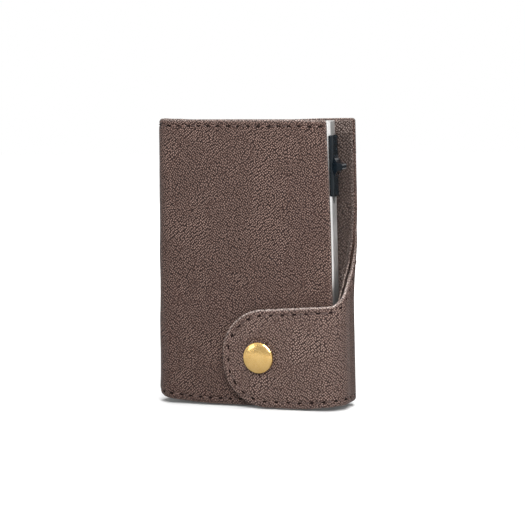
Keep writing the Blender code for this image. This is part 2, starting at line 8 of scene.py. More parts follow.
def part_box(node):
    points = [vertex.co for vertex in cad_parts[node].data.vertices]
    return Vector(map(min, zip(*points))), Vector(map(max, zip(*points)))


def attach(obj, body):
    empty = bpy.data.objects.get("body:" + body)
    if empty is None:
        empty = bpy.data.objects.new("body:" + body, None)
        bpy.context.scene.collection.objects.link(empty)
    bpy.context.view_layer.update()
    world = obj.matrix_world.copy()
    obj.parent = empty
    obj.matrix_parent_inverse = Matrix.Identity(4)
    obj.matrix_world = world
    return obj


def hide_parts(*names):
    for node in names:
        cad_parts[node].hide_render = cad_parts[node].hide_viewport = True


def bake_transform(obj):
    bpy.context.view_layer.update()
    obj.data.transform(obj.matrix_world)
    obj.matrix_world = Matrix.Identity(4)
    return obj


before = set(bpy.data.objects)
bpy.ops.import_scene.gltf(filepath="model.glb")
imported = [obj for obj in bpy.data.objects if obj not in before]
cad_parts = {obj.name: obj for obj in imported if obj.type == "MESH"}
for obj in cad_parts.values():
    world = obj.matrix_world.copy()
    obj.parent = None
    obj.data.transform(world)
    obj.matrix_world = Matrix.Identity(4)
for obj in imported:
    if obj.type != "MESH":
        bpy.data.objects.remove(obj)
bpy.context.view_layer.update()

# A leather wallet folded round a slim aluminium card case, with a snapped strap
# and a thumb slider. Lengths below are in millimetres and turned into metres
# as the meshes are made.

mm = 0.001


# Small helpers

def boxOf(node):
    low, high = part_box(node)
    return low / mm, high / mm


def newObject(name, data):
    thing = bpy.data.objects.new(name, data)
    bpy.context.scene.collection.objects.link(thing)
    return thing


def rise(value, low, high):
    # 0 below low and 1 above high, with a smooth slope between them
    share = min(max((value - low) / (high - low), 0.0), 1.0)
    return share * share * (3.0 - 2.0 * share)


def bell(value, middle, width):
    return math.exp(-((value - middle) / width) ** 2)


def wander(x, y, z, size):
    # slow wobble between -1 and 1, the same on every run
    return noise.noise(Vector((x / size, y / size, z / size)))


def graded(start, end, coarse, fine=None, reachStart=0.0, reachEnd=0.0):
    # positions from start to end, closer together near the ends
    fine = fine or coarse
    spots = [start]
    while spots[-1] < end - 0.001:
        here = spots[-1]
        nearEdge = here - start < reachStart or end - here < reachEnd + coarse
        spots.append(here + (fine if nearEdge else coarse))
    stretch = (end - start) / (spots[-1] - start)
    return [start + (spot - start) * stretch for spot in spots]


# Node helpers

def plug(socket, value):
    # another node's output is linked, and anything else becomes the socket's own value
    if isinstance(value, bpy.types.NodeSocket):
        socket.id_data.links.new(value, socket)
    elif socket.type == "RGBA":
        socket.default_value = (*value, 1.0)
    else:
        socket.default_value = value


def addNode(tree, kind, inputs=None, **settings):
    node = tree.nodes.new(kind)
    node.location = (200 * (len(tree.nodes) % 10), -240 * (len(tree.nodes) // 10))
    for key, value in settings.items():
        setattr(node, key, value)
    for name, value in (inputs or {}).items():
        plug(node.inputs[name], value)
    return node


def mathNode(tree, operation, *values, clamp=False):
    node = addNode(tree, "ShaderNodeMath", dict(enumerate(values)), operation=operation, use_clamp=clamp)
    return node.outputs[0]


def mapRange(tree, value, fromLow, fromHigh, toLow=0.0, toHigh=1.0, smooth=False):
    inputs = {"Value": value, "From Min": fromLow, "From Max": fromHigh, "To Min": toLow, "To Max": toHigh}
    kind = "SMOOTHSTEP" if smooth else "LINEAR"
    return addNode(tree, "ShaderNodeMapRange", inputs, interpolation_type=kind).outputs["Result"]


def mixColour(tree, factor, first, second):
    return addNode(tree, "ShaderNodeMix", {0: factor, 6: first, 7: second}, data_type="RGBA").outputs[2]


def product(tree, first, second, clamp=False):
    return mathNode(tree, "MULTIPLY", first, second, clamp=clamp)


def mixValue(tree, share, first, second):
    return addNode(tree, "ShaderNodeMix", {0: share, 2: first, 3: second}, data_type="FLOAT").outputs[0]


def noiseNode(tree, vector, scale, detail=3.0, roughness=0.55, output="Fac"):
    inputs = {"Vector": vector, "Scale": scale, "Detail": detail, "Roughness": roughness}
    return addNode(tree, "ShaderNodeTexNoise", inputs).outputs[output]


def newGroup(name, sizes, outputs):
    group = bpy.data.node_groups.new(name, "ShaderNodeTree")
    group.interface.new_socket("Vector", in_out="INPUT", socket_type="NodeSocketVector")
    for label, value in sizes.items():
        group.interface.new_socket(label, in_out="INPUT", socket_type="NodeSocketFloat").default_value = value
    for label in outputs:
        group.interface.new_socket(label, in_out="OUTPUT", socket_type="NodeSocketFloat")
    return group, addNode(group, "NodeGroupInput").outputs, addNode(group, "NodeGroupOutput").inputs


# Shared effects

def pebbleGrainGroup():
    # leather pebbles with creases between them, drawn on the flat cut of the leather; beside the height for the
    # bump it gives masks for a painted highlight on the pebble tops and for painted shade in the creases
    group, enter, leave = newGroup("pebbleGrain", {"Pebbles Per Metre": 1400.0, "Crease Width": 0.16},
                                   ("Height", "Crown Highlights", "Crease Shade", "Patches"))
    place = vector = enter["Vector"]
    for scale, reach in ((150.0, 0.0014), (520.0, 0.0004)):
        # the grain drifts and squeezes from place to place
        drift = noiseNode(group, place, scale, 1.0, 0.5, "Color")
        for operation, inputs in (("SUBTRACT", {1: (0.5, 0.5, 0.5)}), ("SCALE", {"Scale": reach}),
                                  ("ADD", {1: vector})):
            drift = addNode(group, "ShaderNodeVectorMath", {0: drift, **inputs}, operation=operation).outputs[0]
        vector = drift

    # long pebbles lean one way here and the other way there
    flow = mapRange(group, noiseNode(group, place, 70.0, 1.0), 0.44, 0.56, smooth=True)
    gaps, domes = [], []
    for lean in (34.0, -38.0):
        inputs = {"Vector": vector, "Rotation": (0.0, 0.0, math.radians(lean)), "Scale": (0.90, 1.11, 1.0)}
        turned = addNode(group, "ShaderNodeMapping", inputs, vector_type="TEXTURE")
        inputs = {"Vector": turned.outputs[0], "Scale": enter["Pebbles Per Metre"], "Randomness": 0.55}
        for feature, found in (("DISTANCE_TO_EDGE", gaps), ("F1", domes)):
            cells = addNode(group, "ShaderNodeTexVoronoi", inputs, voronoi_dimensions="2D", feature=feature)
            found.append(cells.outputs["Distance"])
    crease = mapRange(group, mixValue(group, flow, *gaps), 0.0, enter["Crease Width"], 1.0, 0.0, smooth=True)
    dome = mapRange(group, mixValue(group, flow, *domes), 0.0, 0.72, 1.0, 0.0)
    plug(leave["Height"], mathNode(group, "SUBTRACT", dome, product(group, crease, 0.3)))
    # mask for the painted highlight on the pebble tops
    plug(leave["Crown Highlights"], mapRange(group, dome, 0.42, 0.84, smooth=True))
    # mask for the painted shade in the creases and low between the pebbles
    low = mapRange(group, dome, 0.46, 0.16, smooth=True)
    plug(leave["Crease Shade"], mathNode(group, "MAXIMUM", low, product(group, crease, 0.85)))
    plug(leave["Patches"], noiseNode(group, place, 70.0))
    return group


def smudgeGroup():
    # handling marks and fine dust, for the smooth hard pieces
    group, enter, leave = newGroup("smudges", {"Size": 160.0, "Low": 0.2, "High": 0.4}, ("Roughness", "Mask"))
    cloud = noiseNode(group, enter["Vector"], enter["Size"], 4.0, 0.6)
    mask = mapRange(group, cloud, 0.35, 0.68, smooth=True)
    plug(leave["Roughness"], mapRange(group, mask, 0.0, 1.0, enter["Low"], enter["High"]))
    plug(leave["Mask"], mask)
    return group


pebbleGrain = pebbleGrainGroup()
smudges = smudgeGroup()
print("shared node groups ready")


# Materials

def newMaterial(name):
    material = bpy.data.materials.new(name)
    material.use_nodes = True
    tree = material.node_tree
    return material, tree, addNode(tree, "ShaderNodeTexCoord").outputs["Object"]


def placeGroup(tree, group, **inputs):
    inputs = {name.replace("_", " "): value for name, value in inputs.items()}
    return addNode(tree, "ShaderNodeGroup", inputs, node_tree=group).outputs


def finish(material, inputs, height=None, strength=1.0, distance=0.0001):
    # what the shader reads, and the bump over it
    tree = material.node_tree
    shader = tree.nodes["Principled BSDF"]
    for name, value in inputs.items():
        plug(shader.inputs[name], value)
    if height is not None:
        bump = addNode(tree, "ShaderNodeBump", {"Height": height, "Strength": strength, "Distance": distance})
        plug(shader.inputs["Normal"], bump.outputs["Normal"])
    return material


leatherLook = {
    # dark is painted shade in the creases, middle the leather's own colour and light a painted highlight on the
    # pebble tops, here and in the other leather looks
    "dark": (0.010, 0.004, 0.003),
    "middle": (0.042, 0.021, 0.016),
    "light": (0.315, 0.207, 0.172),
    # worn is the colour of rubbed edges and also of the painted highlight on edges that face up
    "worn": (0.620, 0.520, 0.475),
    "pebblesPerMetre": 1340.0,
    "creaseWidth": 0.24,
    "crownHighlightShare": (0.46, 0.69),
    "creaseShadeShare": (0.62, 0.84),
    "grainDepth": 0.00022,
    "roughness": (0.46, 0.60),
    "gloss": 0.20,
}

strapLook = dict(leatherLook, middle=(0.066, 0.038, 0.031), light=(0.400, 0.276, 0.234), pebblesPerMetre=1290.0)

# The lining's colours are its own tone darkened further as painted shade for the shadow gap inside the cover;
# the turned leather's below are darkened the same way.
liningLook = dict(
    dark=(0.014, 0.008, 0.006), middle=(0.032, 0.020, 0.016), light=(0.125, 0.090, 0.077),
    worn=(0.330, 0.250, 0.215), pebblesPerMetre=1150.0, creaseWidth=0.20, crownHighlightShare=(0.3, 0.7),
    creaseShadeShare=(0.5, 0.95), grainDepth=0.00020, roughness=(0.50, 0.66), gloss=0.25)

turnedLook = dict(
    dark=(0.012, 0.006, 0.004), middle=(0.076, 0.050, 0.042), light=(0.300, 0.238, 0.214),
    worn=(0.400, 0.310, 0.270), pebblesPerMetre=1200.0, creaseWidth=0.28, crownHighlightShare=(0.30, 0.80),
    creaseShadeShare=(0.55, 0.90), grainDepth=0.00030, roughness=(0.42, 0.58), gloss=0.3)


def leatherMaterial(name, look):
    material, tree, vector = newMaterial(name)
    flat = addNode(tree, "ShaderNodeUVMap", uv_map="flatCut").outputs["UV"]
    grain = placeGroup(tree, pebbleGrain, Vector=flat, Pebbles_Per_Metre=look["pebblesPerMetre"],
                       Crease_Width=look["creaseWidth"])
    patches = grain["Patches"]
    edge = addNode(tree, "ShaderNodeAttribute", attribute_name="edgeWearAndTopHighlight").outputs["Fac"]
    fleck = mapRange(tree, noiseNode(tree, flat, 1400.0, 2.0), 0.36, 0.62, 0.15, 1.0)
    crownHighlight = mapRange(tree, patches, 0.35, 0.62, *look["crownHighlightShare"])
    creaseShade = mapRange(tree, patches, 0.3, 0.6, *look["creaseShadeShare"])
    # pebble tops pulled towards the light colour: painted highlight
    colour = mixColour(tree, product(tree, grain["Crown Highlights"], crownHighlight), look["middle"], look["light"])
    # rubbed edges, plus a painted highlight on edges that face up, come in from the edge attribute
    colour = mixColour(tree, product(tree, edge, fleck, clamp=True), colour, look["worn"])
    # creases pulled towards the dark colour: painted shade
    colour = mixColour(tree, product(tree, grain["Crease Shade"], creaseShade), colour, look["dark"])
    inputs = {"Base Color": colour, "Roughness": mapRange(tree, patches, 0.3, 0.7, *look["roughness"]),
              "Specular IOR Level": look["gloss"]}
    return finish(material, inputs, grain["Height"], 1.0, look["grainDepth"])


threadLook = {"dark": (0.040, 0.020, 0.016), "light": (0.110, 0.062, 0.050), "twistScale": 130.0}


def threadMaterial():
    material, tree, vector = newMaterial("waxedThread")
    inputs = {"Vector": vector, "Scale": threadLook["twistScale"], "Distortion": 1.5, "Detail": 1.0}
    wave = addNode(tree, "ShaderNodeTexWave", inputs, wave_type="BANDS", bands_direction="DIAGONAL")
    twist = wave.outputs["Fac"]
    inputs = {"Base Color": mixColour(tree, twist, threadLook["dark"], threadLook["light"]),
              "Roughness": mapRange(tree, twist, 0.0, 1.0, 0.6, 0.45)}
    return finish(material, inputs, twist, 0.6)


def needleHoleShadeMaterial():
    material, tree, vector = newMaterial("needleHoleShade")
    # near black: painted shade down in the needle holes
    colour = mixColour(tree, noiseNode(tree, vector, 2500.0), (0.004, 0.002, 0.002), (0.012, 0.007, 0.006))
    return finish(material, {"Base Color": colour, "Roughness": 0.9, "Specular IOR Level": 0.1})


aluminiumLook = {"light": (0.82, 0.815, 0.80), "dark": (0.74, 0.735, 0.725), "linesPerMetre": 3200.0}


def aluminiumMaterial():
    # satin anodised extrusion: fine lines run along the case's height
    material, tree, vector = newMaterial("satinAluminium")
    along = addNode(tree, "ShaderNodeMapping", {"Vector": vector, "Scale": (1.0, 1.0, 0.012)}).outputs[0]
    lines = noiseNode(tree, along, aluminiumLook["linesPerMetre"], 4.0)
    marks = placeGroup(tree, smudges, Vector=vector, Size=120.0, Low=0.29, High=0.35)
    colour = mixColour(tree, mapRange(tree, lines, 0.3, 0.7), aluminiumLook["dark"], aluminiumLook["light"])
    inputs = {"Base Color": colour, "Metallic": 0.9, "Roughness": marks["Roughness"]}
    return finish(material, inputs, lines, 0.06, 0.00004)


brassLook = {"light": (0.80, 0.535, 0.205), "dark": (0.74, 0.480, 0.170), "worn": (0.84, 0.63, 0.32)}


def brassMaterial():
    # satin brass with soft mottling and fine turned lines
    material, tree, vector = newMaterial("satinBrass")
    cloud = noiseNode(tree, vector, 420.0, 4.0, 0.6)
    speck = noiseNode(tree, vector, 2600.0, 2.0)
    marks = placeGroup(tree, smudges, Vector=vector, Size=500.0, Low=0.17, High=0.25)
    mottle = mapRange(tree, cloud, 0.32, 0.68, smooth=True)
    colour = mixColour(tree, mottle, brassLook["dark"], brassLook["light"])
    colour = mixColour(tree, mapRange(tree, speck, 0.55, 0.75, 0.0, 0.5), colour, brassLook["worn"])
    inputs = {"Base Color": colour, "Metallic": 1.0, "Roughness": marks["Roughness"]}
    height = mathNode(tree, "ADD", cloud, product(tree, speck, 0.3))
    return finish(material, inputs, height, 0.12, 0.00004)


def steelMaterial():
    material, tree, vector = newMaterial("platedSteel")
    marks = placeGroup(tree, smudges, Vector=vector, Size=600.0, Low=0.22, High=0.4)
    colour = mixColour(tree, marks["Mask"], (0.62, 0.61, 0.59), (0.50, 0.49, 0.47))
    return finish(material, {"Base Color": colour, "Metallic": 1.0, "Roughness": marks["Roughness"]})


def glossPlasticMaterial():
    # the slider's polished black plastic, with faint handling marks
    material, tree, vector = newMaterial("polishedBlackPlastic")
    marks = placeGroup(tree, smudges, Vector=vector, Size=240.0, Low=0.08, High=0.18)
    colour = mixColour(tree, marks["Mask"], (0.002, 0.004, 0.006), (0.004, 0.007, 0.010))
    inputs = {"Base Color": colour, "Specular IOR Level": 0.22, "Roughness": marks["Roughness"]}
    return finish(material, inputs, noiseNode(tree, vector, 900.0, 2.0), 0.12, 0.00005)


def mattPlasticMaterial():
    material, tree, vector = newMaterial("mouldedBlackPlastic")
    spark = noiseNode(tree, vector, 4200.0, 2.0)
    marks = placeGroup(tree, smudges, Vector=vector, Size=200.0, Low=0.48, High=0.62)
    colour = mixColour(tree, spark, (0.014, 0.014, 0.015), (0.030, 0.030, 0.032))
    return finish(material, {"Base Color": colour, "Roughness": marks["Roughness"]}, spark, 0.4, 0.00004)


def feltMaterial():
    material, tree, vector = newMaterial("greyFelt")
    fibres = noiseNode(tree, vector, 5200.0, 6.0, 0.75)
    colour = mixColour(tree, mapRange(tree, fibres, 0.35, 0.65), (0.026, 0.026, 0.029), (0.085, 0.085, 0.092))
    inputs = {"Base Color": colour, "Roughness": 0.95, "Sheen Weight": 0.3}
    return finish(material, inputs, fibres, 1.0, 0.00015)


def foamTapeMaterial():
    material, tree, vector = newMaterial("foamTape")
    pores = addNode(tree, "ShaderNodeTexVoronoi", {"Vector": vector, "Scale": 3800.0}).outputs["Distance"]
    colour = mixColour(tree, mapRange(tree, pores, 0.1, 0.6), (0.62, 0.60, 0.55), (0.82, 0.80, 0.75))
    return finish(material, {"Base Color": colour, "Roughness": 0.7}, pores, 0.5)


outerLeather = leatherMaterial("brownPebbleLeather", leatherLook)
strapLeather = leatherMaterial("brownStrapLeather", strapLook)
liningLeather = leatherMaterial("liningLeather", liningLook)
turnedLeather = leatherMaterial("turnedLeather", turnedLook)
waxedThread = threadMaterial()
needleHoleShade = needleHoleShadeMaterial()
print("materials ready")


# The camera stands where the photograph was taken from

cameraPlace = {
    "yaw": 21.7,            # degrees to the right of the front
    "pitch": 6.4,           # degrees above the wallet's middle
    "roll": -1.6,
    "distance": 668.0,
    "lens": 130.3,          # on a 36 mm wide sensor
    "lookAt": (3.6, 0.0, 49.9),
}


def makeCamera():
    data = bpy.data.cameras.new("camera")
    camera = newObject("camera", data)
    yaw, pitch, roll = [math.radians(cameraPlace[key]) for key in ("yaw", "pitch", "roll")]
    away = Vector((math.sin(yaw) * math.cos(pitch), -math.cos(yaw) * math.cos(pitch), math.sin(pitch)))
    camera.location = (Vector(cameraPlace["lookAt"]) + away * cameraPlace["distance"]) * mm
    turn = (-away).to_track_quat("-Z", "Y").to_matrix() @ Matrix.Rotation(roll, 3, "Z")
    camera.rotation_euler = turn.to_euler()
    data.sensor_width = 36.0
    data.lens = cameraPlace["lens"]
    data.clip_start = 0.01
    data.clip_end = 10.0
    bpy.context.scene.camera = camera


makeCamera()
print("camera placed")


# The wrap: one continuous skin from the front's right edge, round the spine, over
# the back cover, round the open side and on to the strap's tip. A point on it is
# (t, z): t in millimetres along the wrap, 0 where the back corner's bend starts.

panelLow, panelHigh = boxOf("front_panel")
coverLow, coverHigh = boxOf("back_panel")
sideLow, sideHigh = boxOf("strap_side")
tabLow, tabHigh = boxOf("strap_front")
capLow, capHigh = boxOf("snap_cap")

wrap = {
    "height": panelHigh.z,
    "frontY": panelLow.y,
    "frontRight": panelHigh.x + 0.6,
    "spineBulge": 6.3,
    "spineEase": 0.4,           # the leather lies a little closer than the solid
    "spineLean": 0.037,         # how much more the spine bulges per millimetre lower down
    "spineLeanZ": 55.0,
    "spineFoot": (1.3, 3.0),    # how far the fold is drawn in at its foot, and over what height
    "spineHead": (0.5, 2.0),
    "topLift": 0.42,            # the top edge lies a little high
    "topStep": (0.22, 18.0, 28.0),      # but less so beside the case: how much, from x to x
    "topSlant": 0.0125,         # it falls a little towards the open side
    "spineTop": 0.4,            # and stands up by the spine
    "coverTop": 0.55,           # the cover's top edge lies lower than the front's
    "footLift": 1.5,            # the bottom edge lifts towards the spine
    "footLiftFrom": (12.0, 38.0),
    "sideLift": 1.3,            # and a little towards the open side
    "sideLiftFrom": (19.0, 36.0),
    "spineLength": 22.0,
    "backY": sideHigh.y,
    "flare": coverHigh.y - sideHigh.y,
    "flareRise": (33.0, 62.0),
    "flareSoft": 10.0,
    "coverRight": coverHigh.x,
    "sideX": sideHigh.x + 0.4,
    "bendRadius": 4.1,
    "bendFade": (50.0, 70.0),   # above the strap the bend opens out
    "frontBendRadius": 7.0,
    "tabY": tabLow.y,
    "tipX": tabLow.x,
    "tipRadius": 16.4,
    "tipTop": 34.7,
    "strapTop": sideHigh.z,
    "neck": (17.0, 25.4),       # the hollow curve from the strap up to the cover's edge: width and height
    "neckPower": 1.5,
    "corner": 0.9,
    "frontLean": 0.7,           # the front's free edge leans in towards its top
}

spineX = panelLow.x + wrap["spineBulge"]
bendX = wrap["sideX"] - wrap["bendRadius"]
coverLength = bendX - spineX
frontLength = wrap["frontRight"] - spineX
spineStartT = -coverLength - wrap["spineLength"]
frontEndT = spineStartT - frontLength
sideEndT = wrap["bendRadius"] * math.pi / 2 + (
    wrap["backY"] - wrap["bendRadius"] - wrap["tabY"] - wrap["frontBendRadius"])
tabStartT = sideEndT + wrap["frontBendRadius"] * math.pi / 2
tabRightX = wrap["sideX"] - wrap["frontBendRadius"]
coverEdgeT = wrap["coverRight"] - bendX
neckT = coverEdgeT + wrap["neck"][0]
neckZ = wrap["strapTop"] + wrap["neck"][1]
splitBackT = -3.3
splitSideT = 11.0


def tAtTab(x):
    return tabStartT + tabRightX - x


def softShare(x):
    reach = x - spineX
    soft = wrap["flareSoft"]
    if reach <= 0.0:
        return 0.0
    if reach < soft:
        return reach * reach / (2.0 * soft)
    return reach - soft / 2.0


def coverPoint(x, z):
    # place and heading of the back cover's outer face, seen from above
    lift = wrap["flare"] * rise(z, *wrap["flareRise"]) / softShare(wrap["coverRight"])
    slope = lift * min(max((x - spineX) / wrap["flareSoft"], 0.0), 1.0)
    return wrap["backY"] + lift * softShare(x), math.atan(slope)


def spineBulge(z):
    bulge = wrap["spineBulge"] - wrap["spineEase"] + wrap["spineLean"] * (wrap["spineLeanZ"] - z)
    for (depth, reach), near in ((wrap["spineFoot"], z), (wrap["spineHead"], wrap["height"] - z)):
        bulge -= depth * (max(reach - near, 0.0) / reach) ** 2
    return bulge


def skin(t, z):
    # the outer face of the outer leather, with its edges not quite square
    point = evenSkin(t, z)
    step, stepFrom, stepTo = wrap["topStep"]
    top = wrap["topLift"] - step * rise(point.x, stepFrom, stepTo) - wrap["topSlant"] * point.x
    top += wrap["spineTop"] * rise(-point.x, 24.0, 34.0) - 0.08 * bell(point.x, 12.0, 14.0)
    top -= wrap["coverTop"] * rise(point.y, 0.0, 8.0) * (1.0 - rise(point.x, 12.0, 30.0))
    point.z += top * rise(z, 60.0, wrap["height"] - 2.0)
    foot = 0.05 + wrap["footLift"] * rise(-point.x, *wrap["footLiftFrom"])
    foot += wrap["sideLift"] * rise(point.x, *wrap["sideLiftFrom"])
    point.z += foot * (1.0 - rise(z, 0.0, 12.0))
    return point


def evenSkin(t, z):
    if t < spineStartT:
        return Vector((spineX + spineStartT - t, wrap["frontY"], z))
    if t < -coverLength:
        angle = math.radians(270.0 - 180.0 * (t - spineStartT) / wrap["spineLength"])
        middle = (wrap["backY"] + wrap["frontY"]) / 2
        depth = (wrap["backY"] - wrap["frontY"]) / 2
        return Vector((spineX + spineBulge(z) * math.cos(angle), middle + depth * math.sin(angle), z))
    if t < 0.0:
        x = spineX + t + coverLength
        return Vector((x, coverPoint(x, z)[0], z))
    startY, heading = coverPoint(bendX, z)
    curve = (1.0 - rise(z, *wrap["bendFade"])) / wrap["bendRadius"]
    if curve < 0.0001:
        return Vector((bendX + t * math.cos(heading), startY + t * math.sin(heading), z))
    bendEnd = (heading + math.pi / 2) / curve
    if t < bendEnd:
        now = heading - curve * t
        return Vector((bendX + (math.sin(heading) - math.sin(now)) / curve,
                       startY + (math.cos(now) - math.cos(heading)) / curve, z))
    x = bendX + (math.sin(heading) + 1.0) / curve
    y = startY - math.cos(heading) / curve - (min(t, sideEndT) - bendEnd)
    if t > sideEndT:
        radius = wrap["frontBendRadius"]
        angle = min((t - sideEndT) / radius, math.pi / 2)
        x -= radius * (1.0 - math.cos(angle)) + max(t - tabStartT, 0.0)
        y -= radius * math.sin(angle)
    return Vector((x, y, z))


def skinNormal(t, z):
    step = 0.05
    along = skin(t + step, z) - skin(t - step, z)
    up = skin(t, z + step) - skin(t, z - step)
    return up.cross(along).normalized()


def neckShare(share):
    # the hollow curve: how far along one of its axes a point lies, from its share of the other
    power = wrap["neckPower"]
    return max(1.0 - min(max(share, 0.0), 1.0) ** power, 0.0) ** (1.0 / power)


def strapTopZ(t, inset=0.0):
    # the strap's upper edge: the neck's hollow curve, then falling a little to the tip
    if t < neckT:
        return neckZ - (wrap["neck"][1] + inset) * neckShare((neckT - t) / (wrap["neck"][0] + inset))
    tipT = tAtTab(wrap["tipX"] + wrap["tipRadius"])
    share = min((t - neckT) / (tipT - neckT), 1.0)
    return wrap["strapTop"] + (wrap["tipTop"] - wrap["strapTop"]) * share - inset


def coverEdge(z, inset=0.0):
    # where the cover's right edge lies along the wrap, down through the neck
    top = wrap["height"] - inset
    radius = max(wrap["corner"] - inset, 0.1)
    edge = coverEdgeT - inset
    if z < neckZ:
        edge = neckT - (wrap["neck"][0] + inset) * neckShare((neckZ - z) / (wrap["neck"][1] + inset))
    over = z - (top - radius)
    if over > 0.0:
        edge -= radius - math.sqrt(max(radius * radius - over * over, 0.0))
    return edge


def edgeDistance(t, z):
    # how far a point of the outer leather lies from the nearest cut edge
    height = wrap["height"]
    if t < splitBackT:
        return min(z, height - z, t - frontEndT)
    tipX = wrap["tipX"] + wrap["tipRadius"]
    tipT = tAtTab(tipX)
    if t > tipT:
        lowZ = wrap["tipRadius"]
        highZ = wrap["tipTop"] - wrap["tipRadius"]
        nearest = min(max(z, min(lowZ, highZ)), max(lowZ, highZ))
        return wrap["tipRadius"] - math.hypot(t - tipT, z - nearest)
    if t > neckT:
        return min(z, strapTopZ(t) - z)
    if z < neckZ:
        wide, tall = wrap["neck"]
        power = wrap["neckPower"]
        across = max((neckT - t) / wide, 0.001)
        down = (neckZ - z) / tall
        reach = (across ** power + down ** power) ** (1.0 / power)
        slope = math.hypot((across / reach) ** (power - 1.0) / wide, (down / reach) ** (power - 1.0) / tall)
        return min(z, (reach - 1.0) / slope)
    return min(coverEdgeT - t, height - z)


# Relief of the outer leather

relief = {
    "seamInset": 2.2,
    "channelDepth": 0.26,
    "channelWidth": 0.50,
    "rimLift": 0.05,
    "shoulder": (0.5, 1.8),     # how far the face rounds off at its edge, and from where
    "wobble": (0.10, 13.0),     # soft unevenness all over: its height and its size
    "ripple": (0.035, 3.1),
    "capPress": 0.22,
    "capRing": 0.50,
    "strapCrown": 0.38,         # the strap bulges between the snap and the corner
    "cornerFolds": 0.09,        # soft upright folds where the strap turns the corner
    "spineFolds": 0.16,
    "spineDraw": 0.10,          # the seam draws the spine in a little
}

capX = (capLow.x + capHigh.x) / 2
capZ = (capLow.z + capHigh.z) / 2
capRadius = (capHigh.x - capLow.x) / 2


def stitched(t):
    # the front's right edge carries no seam, because the case lies behind it
    return 1.0 if t > frontEndT + 3.0 else rise(t, frontEndT + 0.8, frontEndT + 2.0)


def seamDistance(t, z):
    if t < splitBackT:
        return min(z, wrap["height"] - z)
    return edgeDistance(t, z)


def outerRelief(t, z):
    seam = seamDistance(t, z)
    edge = edgeDistance(t, z)
    lift = -relief["channelDepth"] * bell(seam, relief["seamInset"], relief["channelWidth"]) * stitched(t)
    lift += relief["rimLift"] * bell(edge, 1.1, 0.7)
    drop, width = relief["shoulder"]
    lift -= drop * max(1.0 - edge / width, 0.0) ** 2
    point = skin(t, z)
    height, size = relief["wobble"]
    lift += height * wander(point.x, point.y, z, size) * rise(edge, 0.5, 5.0)
    height, size = relief["ripple"]
    lift += height * wander(point.x + 40.0, point.y, z, size)
    if t > tabStartT - 4.0:
        away = math.hypot(point.x - capX, z - capZ)
        lift -= relief["capPress"] * bell(away, 0.0, capRadius * 1.25)
        lift -= relief["capRing"] * bell(away, capRadius + 0.3, 0.5)
        lift += relief["strapCrown"] * bell(point.x, 21.0, 9.0) * bell(z, 18.0, 12.0)
    if sideEndT - 3.0 < t < tabStartT + 6.0:
        fold = math.sin((t - sideEndT) * 1.9 + 1.2 * wander(0.0, 5.0, z, 9.0))
        lift += relief["cornerFolds"] * fold * bell(t, tabStartT - 2.5, 5.0) * rise(seam, 1.0, 6.0)
    if spineStartT - 6.0 < t < -coverLength + 4.0:
        fold = wander(t * 1.6, 9.0, z * 0.22, 4.0)
        lift += relief["spineFolds"] * fold * rise(seam, 1.0, 8.0)
        lift -= relief["spineDraw"] * bell(seam, relief["seamInset"], 0.9)
    return lift


# Slabs of leather

def topHighlightStrength(t):
    # how strong the painted highlight on upward-facing edges is, strongest along the strap
    return 0.25 + 0.65 * rise(t, coverEdgeT, splitSideT)


def edgeWearAndTopHighlight(t, z):
    # edges rub a little lighter all round, and where they face up they also get a painted highlight for the
    # light from above
    upward = (edgeDistance(t, z - 0.3) - edgeDistance(t, z + 0.3)) / 0.6
    near = math.exp(-(max(edgeDistance(t, z) - 0.25, 0.0) / 0.3) ** 2)
    return near * (0.1 + topHighlightStrength(t) * min(max(upward, 0.0), 1.0))


def noteFlatCut(grid, thickness):
    # the size that the piece is cut to, read off its own flat layout, with the rims
    ts, zs = zip(*[spot for row in grid for spot in row])
    area = 0.0
    for lower, upper in zip(grid, grid[1:]):
        for number in range(len(lower) - 1):
            corners = (lower[number], lower[number + 1], upper[number + 1], upper[number])
            for (t1, z1), (t2, z2) in zip(corners, corners[1:] + corners[:1]):
                area += (t1 * z2 - t2 * z1) / 2.0
    width, length = max(ts) - min(ts) + thickness, max(zs) - min(zs) + thickness
    area = abs(area) + thickness * (width + length)


